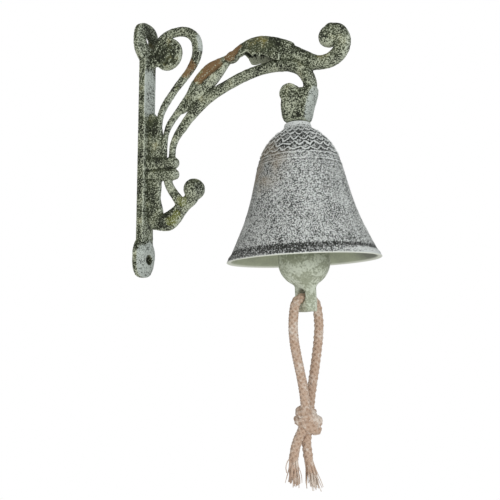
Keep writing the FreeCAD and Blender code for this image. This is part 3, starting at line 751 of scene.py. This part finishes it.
    def blade(self, start: Vector, end: Vector, half: float) -> Section:
        """Thin section of a blade between two points of one upright plane, a little longer than their gap."""
        reach = (end - start) / 2
        flat = Vector((0.0, -reach.z, reach.y)).normalized()
        return Section((start + end) / 2, reach * 1.1, flat * half, 2.6)

    def add_boss(self, bm: bmesh.types.BMesh) -> None:
        """Add the squared boss that holds the bolt, with the curled lobe on its shoulder."""
        levels = ((6.0, 125.0, 6.0, 5.4), (6.5, 125.0, 7.6, 6.6), (7.6, 125.0, 8.5, 7.1), (10.5, 125.1, 9.5, 7.3),
                  (14.0, 125.2, 10.1, 7.4), (18.0, 125.5, 10.9, 7.4), (22.0, 126.3, 11.5, 7.4),
                  (25.0, 128.6, 9.9, 7.0), (28.0, 131.2, 7.4, 6.4))
        skin(bm, [Section(Vector((x, 0, z)), Vector((wide, 0, 0)), ACROSS * deep, 4.6)
                  for z, x, wide, deep in levels], 32)
        lobe = ((-7.8, 3.4), (-7.5, 5.2), (-6.8, 6.4), (0.0, 6.8), (6.8, 6.4), (7.5, 5.2), (7.8, 3.4))
        skin(bm, [Section(Vector((121.0, y, 25.2)), Vector((r, 0, 0)), Vector((0, 0, -r)))
                  for y, r in lobe], 32)

    def roughen(self, mesh: bpy.types.Mesh) -> None:
        """Roughen the skin like a sand casting, pit its volute, square its lobes and widen the top one."""
        points, normals = points_of(mesh)
        height = 0.16 * grain(points, 2.2, 3.1) + 0.20 * grain(points, 9.0, 7.7)
        x, z = self.volute_middle
        on_volute = np.hypot(points[:, 0] - x, points[:, 2] - z) < self.volute_radius - 0.8
        pits = np.clip(grain(points, 2.9, 9.4), -0.45, 0.1)
        height += 1.8 * pits * on_volute
        keep_back = np.clip(points[:, 0] / 1.2, 0.0, 1.0)
        points = points + normals * (height * keep_back)[:, None]
        for middle, half_width, half_height in self.lobes:
            across = points[:, 1] / half_width
            along = (points[:, 2] - middle) / half_height
            out = np.hypot(across, along)
            corner = (2 * across * along / np.maximum(out, 0.1) ** 2) ** 2
            fuller = 1 + self.corner_fullness * corner * np.clip((out - 0.6) / 0.3, 0, 1)
            near = (points[:, 0] < 9.0) & (out < 1.15) & (along * middle > 0)
            points[:, 1] *= np.where(near, fuller, 1.0)
            points[:, 2] = np.where(near, middle + along * half_height * fuller, points[:, 2])
        rise = np.clip((points[:, 2] - self.widening_from) / self.widening_over, 0.0, 1.0)
        rise *= (points[:, 0] < 8.0) * (points[:, 1] < 0)
        points[:, 1] *= 1 + self.widening * rise * rise * (3 - 2 * rise)
        put_points(mesh, points)


# ---------------------------------------------------------------- bell
@dataclass
class Bell:
    """Flared bell with rows of scales on its shoulder, two thin rings and a lip."""

    outline: tuple = (
        (8.2, 1.5), (8.7, 2.0), (9.0, 3.2), (9.6, 4.9), (12.6, 7.4), (16.9, 11.5), (20.8, 15.8), (24.0, 21.2),
        (27.4, 29.0), (30.8, 42.5), (34.5, 56.5), (38.1, 67.0), (41.3, 74.4), (45.5, 83.6), (50.1, 92.1),
    )
    inner: tuple = (
        (49.6, 92.5), (48.6, 92.2), (46.6, 91.2), (42.2, 84.5), (38.0, 75.3), (34.8, 67.9), (31.2, 57.4),
        (27.6, 43.4), (24.3, 29.9), (21.2, 21.9), (18.2, 16.3), (14.8, 12.1), (8.4, 9.5),
    )
    bolt_hole: float = 3.08
    around: int = 264
    scales: int = 22
    scale_relief: float = 0.95
    scale_rows: tuple = (7.6, 10.6, 14.0, 17.8, 21.6, 25.0)
    rings: tuple = ((26.2, 0.36, 0.5), (30.6, 0.32, 0.5), (86.6, -0.2, 1.2), (89.6, 0.25, 1.0))

    def build(self) -> bpy.types.Object:
        """Model the bell.

        Returns:
            The finished piece.
        """
        outer = smooth_rows(self.outline, 0.45)
        inner = smooth_rows(self.inner, 1.4)
        profile = [(self.bolt_hole, 1.5), *map(tuple, outer), *map(tuple, inner), (self.bolt_hole, 9.5),
                   (self.bolt_hole, 1.5)]
        bm = bmesh.new()
        skin(bm, [Section(on_axis(depth), OUTWARD * r, ACROSS * -r) for r, depth in profile], self.around)
        piece = finish_piece("bell_shell", bm)
        mesh = piece.data
        points, normals = points_of(mesh)
        spokes = points - np.array(HANG)
        depth = spokes @ np.array(DOWN)
        flat = spokes - depth[:, None] * np.array(DOWN)
        radius = np.linalg.norm(flat, axis=1)
        outside = radius > np.interp(depth, outer[:, 1], outer[:, 0]) - 0.3
        turn = np.arctan2(flat[:, 1], flat @ np.array(OUTWARD)) / math.tau
        height = self.scale_height(depth + 1.1 * grain(points, 4.0, 8.1),
                                   turn + 0.009 * grain(points, 4.0, 6.3))
        for middle, rise, half in self.rings:
            height += rise * np.exp(-((depth - middle) / half) ** 2)
        height += 0.10 * grain(points, 3.0, 1.3) + 0.22 * grain(points, 17.0, 5.9)
        fade = np.clip((depth - 5.0) / 3.0, 0.0, 1.0)
        put_points(mesh, points + normals * (height * fade * outside)[:, None])
        mark_relief(mesh, 3, 0.9)
        mark(mesh, "depth", depth)
        mark(mesh, "within", ~outside & (depth > 9.0))
        mark(mesh, "lip", np.clip((depth - 91.8) / 0.3, 0.0, 1.0))
        return piece

    def scale_height(self, depth: np.ndarray, turn: np.ndarray) -> np.ndarray:
        """Height of the overlapping scales at each point of the shoulder."""
        height = np.zeros_like(depth)
        for row, (top, foot) in enumerate(zip(self.scale_rows, self.scale_rows[1:])):
            share = (depth - top) / (foot - top)
            across = 2 * np.mod(turn * self.scales + 0.5 * (row % 2), 1.0) - 1
            edge = 1.0 - 0.62 * np.abs(across) ** 1.3
            inside = (share >= 0) & (share < 1)
            rim = np.exp(-((share - edge + 0.12) / 0.13) ** 2)
            dish = np.where(share < edge, 0.25 * share / edge, 0.0)
            height = np.where(inside, self.scale_relief * (0.7 * rim + dish), height)
        return height


# ---------------------------------------------------------------- clapper
@dataclass
class Clapper:
    """Ball and drilled lug cast in one, on an eyed steel rod."""

    voxel: float = 0.45
    softening: int = 7

    def build(self, cad: dict[str, bpy.types.Object]) -> bpy.types.Object:
        """Model the ball and lug with a soft neck between them.

        Args:
            cad: the frame's nodes.

        Returns:
            The finished piece.
        """
        bm = bmesh.new()
        take_cad(bm, cad["clapper_ball"])
        neck = [(13.6, 10.4), (15.0, 9.2), (16.2, 8.4), (17.4, 7.8)]
        across = Vector((math.cos(math.radians(60)), math.sin(math.radians(60)), 0.0))
        aside = Vector((-across.y, across.x, 0.0))
        skin(bm, [Section(on_axis(92.6 + drop), across * (r - 2.9), aside * r, 2.6) for drop, r in neck], 32)
        piece = finish_piece("clapper_casting", bm)
        cast_in_one(piece, self.voxel, self.softening)
        points, normals = points_of(piece.data)
        height = 0.07 * grain(points, 2.2, 2.2) + 0.12 * grain(points, 7.0, 4.4)
        put_points(piece.data, points + normals * height[:, None])
        mark_relief(piece.data, 4, 0.9)
        return piece


# ---------------------------------------------------------------- pull rope
class Side(Enum):
    """The two ends of the rope, on either side of the lug."""

    NEAR = "near"
    FAR = "far"


@dataclass
class Rope:
    """Braided cotton rope doubled through the lug, knotted below it and frayed out.

    Routes are in the rope's own upright plane: along the lug's hole, aside from it and drop below it.
    """

    diameter: float = 6.0
    strands: int = 4
    pitch: float = 15.0
    seat_depth: float = 116.4
    routes: dict = field(default_factory=lambda: {
        Side.NEAR: (
            (0.0, 0.0, 0.0), (-4.0, 0.0, 0.0), (-7.0, 0.0, -1.8), (-8.8, 0.0, -4.8), (-9.5, 0.0, -9.6),
            (-10.3, 0.0, -17.4), (-9.6, 0.3, -27.6), (-7.1, 0.9, -39.8), (-4.2, 1.5, -52.2), (-2.1, 1.9, -63.6),
            (-1.6, 2.0, -72.6), (-2.6, 0.6, -82.8), (-6.2, 0.4, -88.4), (-8.6, 0.2, -94.6), (-9.6, 0.0, -101.2)),
        Side.FAR: (
            (0.0, 0.0, 0.0), (4.0, 0.0, 0.0), (7.0, 0.0, -1.8), (8.9, 0.0, -4.8), (9.8, 0.0, -9.6),
            (10.9, -0.1, -17.2), (10.5, -0.5, -27.4), (9.0, -1.0, -39.8), (7.2, -1.6, -52.0), (5.4, -2.0, -63.0),
            (4.4, -2.0, -72.6), (2.6, -0.4, -82.8), (0.4, -0.2, -89.4), (1.0, 0.0, -96.2), (2.2, 0.2, -102.6)),
    })
    lengths: dict = field(default_factory=lambda: {Side.NEAR: 109.0, Side.FAR: 109.0})
    fray_tips: dict = field(default_factory=lambda: {Side.NEAR: (-9.0, 0.0, -116.2),
                                                     Side.FAR: (6.8, 0.4, -120.4)})
    knot_middle: tuple = (2.0, 0.0, -78.0)
    knot_radius: float = 6.1
    cords_frayed: int = 15
    yarns: int = 26

    def place(self, point: Sequence[float]) -> np.ndarray:
        """Point of the object's frame, in millimetres, for a point of a route."""
        across = Vector((math.cos(math.radians(60)), math.sin(math.radians(60)), 0.0))
        aside = across.cross(Vector((0, 0, 1)))
        along, sideways, drop = point
        return np.array(on_axis(self.seat_depth) + across * along + aside * sideways + Vector((0, 0, drop)))

    def spline(self, name: str, points: Sequence[Sequence[float]]) -> np.ndarray:
        """Read the smooth line of a route.

        Args:
            name: name of the curve that is made and removed again.
            points: control points, in the rope's plane.

        Returns:
            Points of the spline, in millimetres, about half a millimetre apart.
        """
        curve = bpy.data.curves.new(name, "CURVE")
        curve.dimensions = "3D"
        curve.resolution_u = 24
        line = curve.splines.new("NURBS")
        line.points.add(len(points) - 1)
        for knot, point in zip(line.points, points):
            knot.co = (*(self.place(point) * MM), 1.0)
        line.order_u = 3
        line.use_endpoint_u = True
        holder = bpy.data.objects.new(name, curve)
        bpy.context.scene.collection.objects.link(holder)
        bpy.context.view_layer.update()
        mesh = bpy.data.meshes.new_from_object(holder)
        found, _ = points_of(mesh)
        bpy.data.objects.remove(holder)
        bpy.data.curves.remove(curve)
        bpy.data.meshes.remove(mesh)
        run = np.concatenate([[0.0], np.cumsum(np.linalg.norm(np.diff(found, axis=0), axis=1))])
        even = np.linspace(0.0, run[-1], int(run[-1] / 0.55) + 1)
        return np.stack([np.interp(even, run, found[:, axis]) for axis in range(3)], axis=1)

    def braid(self, bm: bmesh.types.BMesh, line: np.ndarray, radius: float) -> None:
        """Add a braided rope along a line: yarns wound both ways that pass over and under each other.

        Args:
            bm: mesh that the rope is added to.
            line: points of the rope's middle.
            radius: the rope's radius.
        """
        heading = np.gradient(line, axis=0)
        heading /= np.linalg.norm(heading, axis=1)[:, None]
        side = np.array([0.9, 0.1, 0.2])
        wide = []
        for way in heading:
            side = side - way * float(side @ way)
            side = side / np.linalg.norm(side)
            wide.append(side)
        wide = np.array(wide)
        deep = np.cross(heading, wide)
        run = np.concatenate([[0.0], np.cumsum(np.linalg.norm(np.diff(line, axis=0), axis=1))])
        yarn = 0.40 * radius
        tube(bm, line[::3], [0.82 * radius] * len(line[::3]), 10)
        for way in (1, -1):
            for number in range(self.strands):
                angle = way * math.tau * run / self.pitch + math.tau * number / self.strands
                lift = radius - yarn + 0.10 * radius * way * np.cos(self.strands * angle)
                path = line + wide * (lift * np.cos(angle))[:, None] + deep * (lift * np.sin(angle))[:, None]
                tube(bm, path, [yarn] * len(path), 6)

    def mark_creases(self, piece: bpy.types.Object, line: np.ndarray, radius: float) -> None:
        """Store how far out from the rope's middle each vertex lies, from 0 in the creases to 1."""
        points, _ = points_of(piece.data)
        near = np.full(len(points), 1e9)
        for spot in line[::2]:
            near = np.minimum(near, ((points - spot) ** 2).sum(axis=1))
        mark(piece.data, "relief", np.clip((np.sqrt(near) / radius - 0.80) / 0.22, 0.0, 1.0))

    def strand(self, side: Side) -> tuple[bpy.types.Object, np.ndarray]:
        """Build one end of the rope, from the middle of the lug's hole to where it frays."""
        line = self.spline(f"route_{side.value}", self.routes[side])
        bm = bmesh.new()
        self.braid(bm, line, self.diameter / 2)
        piece = finish_piece(f"rope_{side.value}_end", bm)
        self.mark_creases(piece, line, self.diameter / 2)
        return piece, line

    def knot(self) -> bpy.types.Object:
        """Build the knot: the rope wrapped slantwise round its own two ends, high on the left."""
        middle = np.array(self.knot_middle)
        left, turns, height, slant = math.radians(205), 2.3, 11.6, 1.8
        wraps = []
        for n in range(29):
            share = n / 28
            angle = left + math.radians(150) - share * turns * math.tau
            swell = self.knot_radius * math.sin(math.pi * (0.10 + 0.8 * share)) ** 0.45
            drop = height * (0.5 - share) + slant * math.cos(angle - left)
            wraps.append(middle + np.array([swell * math.cos(angle), 0.92 * swell * math.sin(angle), drop]))
        line = self.spline("route_knot", wraps)
        radius = 0.60 * self.diameter
        bm = bmesh.new()
        self.braid(bm, line, radius)
        ball(bm, Vector(self.place(middle)), (6.4, 6.4, 8.8))
        piece = finish_piece("knot_wraps", bm)
        self.mark_creases(piece, line, radius)
        return piece

    def fray(self, side: Side) -> bpy.types.Object:
        """Build the loose cords and yarns at one end, spreading and waving as they hang."""
        noise.seed_set(11 if side is Side.NEAR else 23)
        start = np.array(self.routes[side][-1])
        tip = np.array(self.fray_tips[side])
        before = start - np.array(self.routes[side][-2])
        before /= np.linalg.norm(before)
        bm = bmesh.new()
        for number in range(self.cords_frayed + self.yarns):
            stout = number < self.cords_frayed
            count = self.cords_frayed if stout else self.yarns
            angle = number * 2.39996
            ring = math.sqrt((number % count + 0.5) / count)
            spread = 1.3 + (0.9 if stout else 1.7) * noise.random()
            reach = (0.66 if stout else 0.74) + 0.34 * noise.random()
            wave, phase = 1.0 + 1.5 * noise.random(), math.tau * noise.random()
            rows = []
            for share in np.linspace(0.0, 1.0, 11):
                out = 2.2 * ring * (1 + (spread - 1) * share ** 1.2)
                sway = wave * share * math.sin(phase + 6.5 * share)
                point = start - before * 2.4 * (1 - share) + (tip - start) * share * reach
                stray = (out * math.cos(angle) + sway, out * math.sin(angle) - sway, -0.6 * share)
                rows.append(self.place(point + np.array(stray)))
            thick = (0.78 if stout else 0.26) + 0.2 * noise.random()
            tube(bm, np.array(rows), [thick * (1 - 0.35 * share) for share in np.linspace(0, 1, 11)], 6)
        if side is Side.NEAR:
            self.add_stray_loop(bm, start)
        piece = finish_piece(f"frayed_yarns_{side.value}", bm)
        mark(piece.data, "relief", np.full(len(piece.data.vertices), 0.7))
        return piece

    def add_stray_loop(self, bm: bmesh.types.BMesh, start: np.ndarray) -> None:
        """Add one yarn that has sprung out of the bundle in a loop."""
        bend = ((0.5, 0.0, -1.0), (-2.8, 0.5, 1.0), (-5.2, 0.8, -0.6), (-6.4, 0.8, -4.0), (-5.4, 0.4, -7.4))
        line = smooth_rows([start + np.array(step) for step in bend], 0.6, 3)
        tube(bm, np.array([self.place(point) for point in line]), [0.34] * len(line), 6)


# ---------------------------------------------------------------- studio
@dataclass(frozen=True)
class Studio:
    """Pale floor, soft lights and the camera."""

    eye: Colour = (0.31106, -0.42428, -0.11680)
    right: Colour = (0.8872, 0.4613, 0.0064)
    up: Colour = (0.0321, -0.0757, 0.9966)
    forward: Colour = (-0.4602, 0.8840, 0.0819)
    lens: float = 51.19
    floor_height: float = -1.4

    def build(self) -> None:
        """Put up the floor, the lights, the sky and the camera."""
        bm = bmesh.new()
        place = Matrix.Translation((0.1, 0.0, self.floor_height))
        bmesh.ops.create_grid(bm, x_segments=1, y_segments=1, size=1.8, matrix=place)
        mesh = bpy.data.meshes.new("floor")
        bm.to_mesh(mesh)
        bm.free()
        floor = bpy.data.objects.new("floor", mesh)
        bpy.context.scene.collection.objects.link(floor)
        shader = Shader("floor_paint")
        mesh.materials.append(shader.done((0.86, 0.86, 0.84), 0.9, None))
        self.add_light("key", (1.25, -0.75, 0.35), 1.0, 8.8, (0.95, 0.98, 1.0))
        self.add_light("front", (-0.35, -1.35, 0.25), 1.2, 2.7, (1.0, 0.98, 0.95))
        self.add_light("below", (0.35, -0.55, -0.95), 0.8, 2.4, (1.0, 1.0, 1.0))
        self.add_sky()
        data = bpy.data.cameras.new("camera")
        data.lens = self.lens
        data.sensor_width = 36.0
        data.clip_start = 0.01
        camera = bpy.data.objects.new("camera", data)
        axes = Matrix((self.right, self.up, [-n for n in self.forward])).transposed()
        camera.matrix_world = Matrix.Translation(self.eye) @ axes.to_4x4()
        bpy.context.scene.collection.objects.link(camera)
        bpy.context.scene.camera = camera

    def add_light(self, name: str, spot: Colour, width: float, watts: float, tint: Colour) -> None:
        """Add a square soft light that faces the bell."""
        data = bpy.data.lights.new(name, "AREA")
        data.shape = "SQUARE"
        data.size = width
        data.energy = watts
        data.color = tint
        light = bpy.data.objects.new(name, data)
        aim = Vector((0.09, 0.0, -0.03)) - Vector(spot)
        light.matrix_world = Matrix.Translation(spot) @ aim.to_track_quat("-Z", "Y").to_matrix().to_4x4()
        bpy.context.scene.collection.objects.link(light)

    def add_sky(self) -> None:
        """Light the scene evenly from all round, in front of a white backdrop."""
        world = bpy.data.worlds.new("studio")
        world.use_nodes = True
        bpy.context.scene.world = world
        tree = world.node_tree
        sky = tree.nodes["Background"]
        sky.inputs["Color"].default_value = (1.0, 1.0, 1.0, 1.0)
        rays = tree.nodes.new("ShaderNodeLightPath")
        seen = tree.nodes.new("ShaderNodeMapRange")
        seen.inputs["To Min"].default_value = 0.42
        seen.inputs["To Max"].default_value = 1.0
        tree.links.new(rays.outputs["Is Camera Ray"], seen.inputs["Value"])
        tree.links.new(seen.outputs[0], sky.inputs["Strength"])


# ---------------------------------------------------------------- assembly
def dress(piece: bpy.types.Object, material: bpy.types.Material, body: str,
          nodes: Sequence[str]) -> None:
    """Give a new piece its finish, its body and the CAD nodes it stands for."""
    piece.data.materials.clear()
    piece.data.materials.append(material)
    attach(piece, body)
    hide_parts(*nodes)
    log.info("%s: %d faces, rides on %s", piece.name, len(piece.data.polygons), body)


def write_size() -> None:
    lows, highs = [], []
    for piece in bpy.context.scene.objects:
        if piece.type == "MESH" and piece.name != "floor" and not piece.hide_render:
            corners = [piece.matrix_world @ Vector(corner) for corner in piece.bound_box]
            lows.append([min(c[n] for c in corners) for n in range(3)])
            highs.append([max(c[n] for c in corners) for n in range(3)])


def main() -> None:
    """Build every piece in order."""
    logging.basicConfig(level=logging.INFO, format="%(name)s: %(message)s")
    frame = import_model()
    cad = frame["nodes"]
    bpy.context.scene.view_settings.view_transform = "Standard"
    Studio().build()

    rope, cotton = Rope(), Cotton().material()
    knot = rope.knot()
    dress(knot, cotton, "rope", ["rope_knot"])
    for side in Side:
        strand, line = rope.strand(side)
        dress(strand, cotton, "rope", [f"rope_{side.value}", f"rope_tail_{side.value}"])
        fray = rope.fray(side)
        dress(fray, cotton, "rope", [f"frayed_end_{side.value}"])

    bracket = Bracket()
    dress(bracket.build(cad), BracketPaint().material(), "bracket", bracket.nodes)
    dress(Bell().build(), BellPaint().material(), "bell", ["bell"])
    dress(Clapper().build(cad), ClapperPaint().material(), "clapper", ["clapper_ball"])
    steel = DullSteel().material()
    for name in ("hanger_eye_bolt", "crown_washer", "crown_nut", "lock_nut", "clapper_link", "clapper_rod"):
        for slot in cad[name].material_slots:
            slot.material = steel
        log.info("%s: kept, in dull steel", name)
    write_size()


if __name__ == "__main__":
    main()
